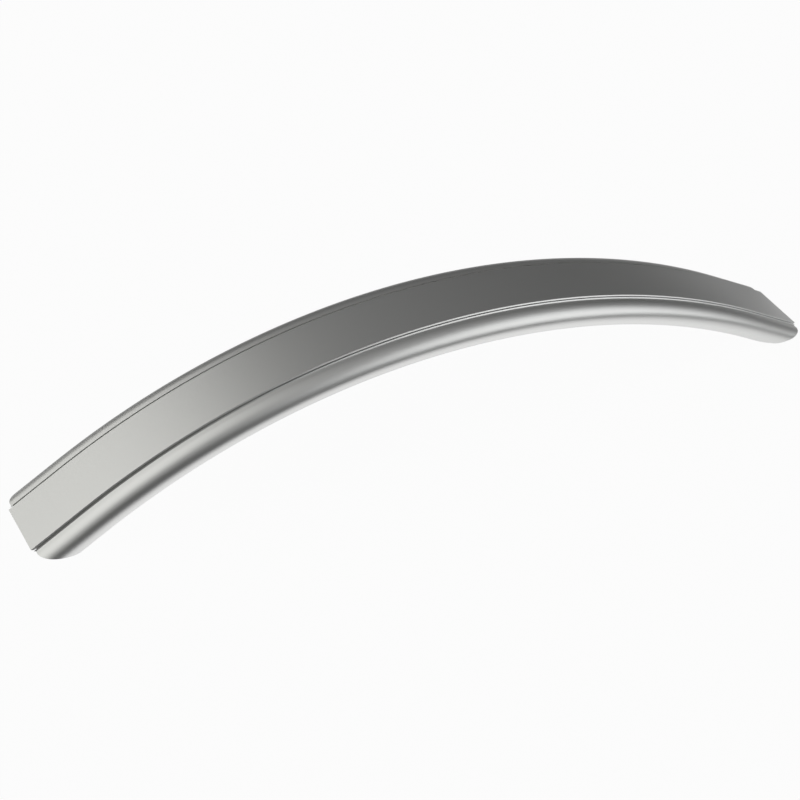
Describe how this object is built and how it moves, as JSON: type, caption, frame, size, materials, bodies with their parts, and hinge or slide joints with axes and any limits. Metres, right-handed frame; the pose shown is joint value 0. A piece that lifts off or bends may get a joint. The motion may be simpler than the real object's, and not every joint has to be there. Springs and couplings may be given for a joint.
{
  "type": "bow handle",
  "caption": "Arched pull handle bent from one wide aluminium bar, with a flat band between fine grooves, rolled edges and feet cut flat to sit on a door or drawer front.",
  "frame": {"origin": "middle of the mounting plane, halfway between the two screw holes", "axes": "+X along the handle from foot to foot, +Y across the bar, +Z away from the door face towards the top of the bow"},
  "size_m": [0.2178, 0.0298, 0.033],
  "materials": {
    "anodised_aluminium": "satin anodised, fine lengthwise grain"
  },
  "bodies": {
    "root": {"bow_handle": "anodised_aluminium"}
  },
  "joints": []
}
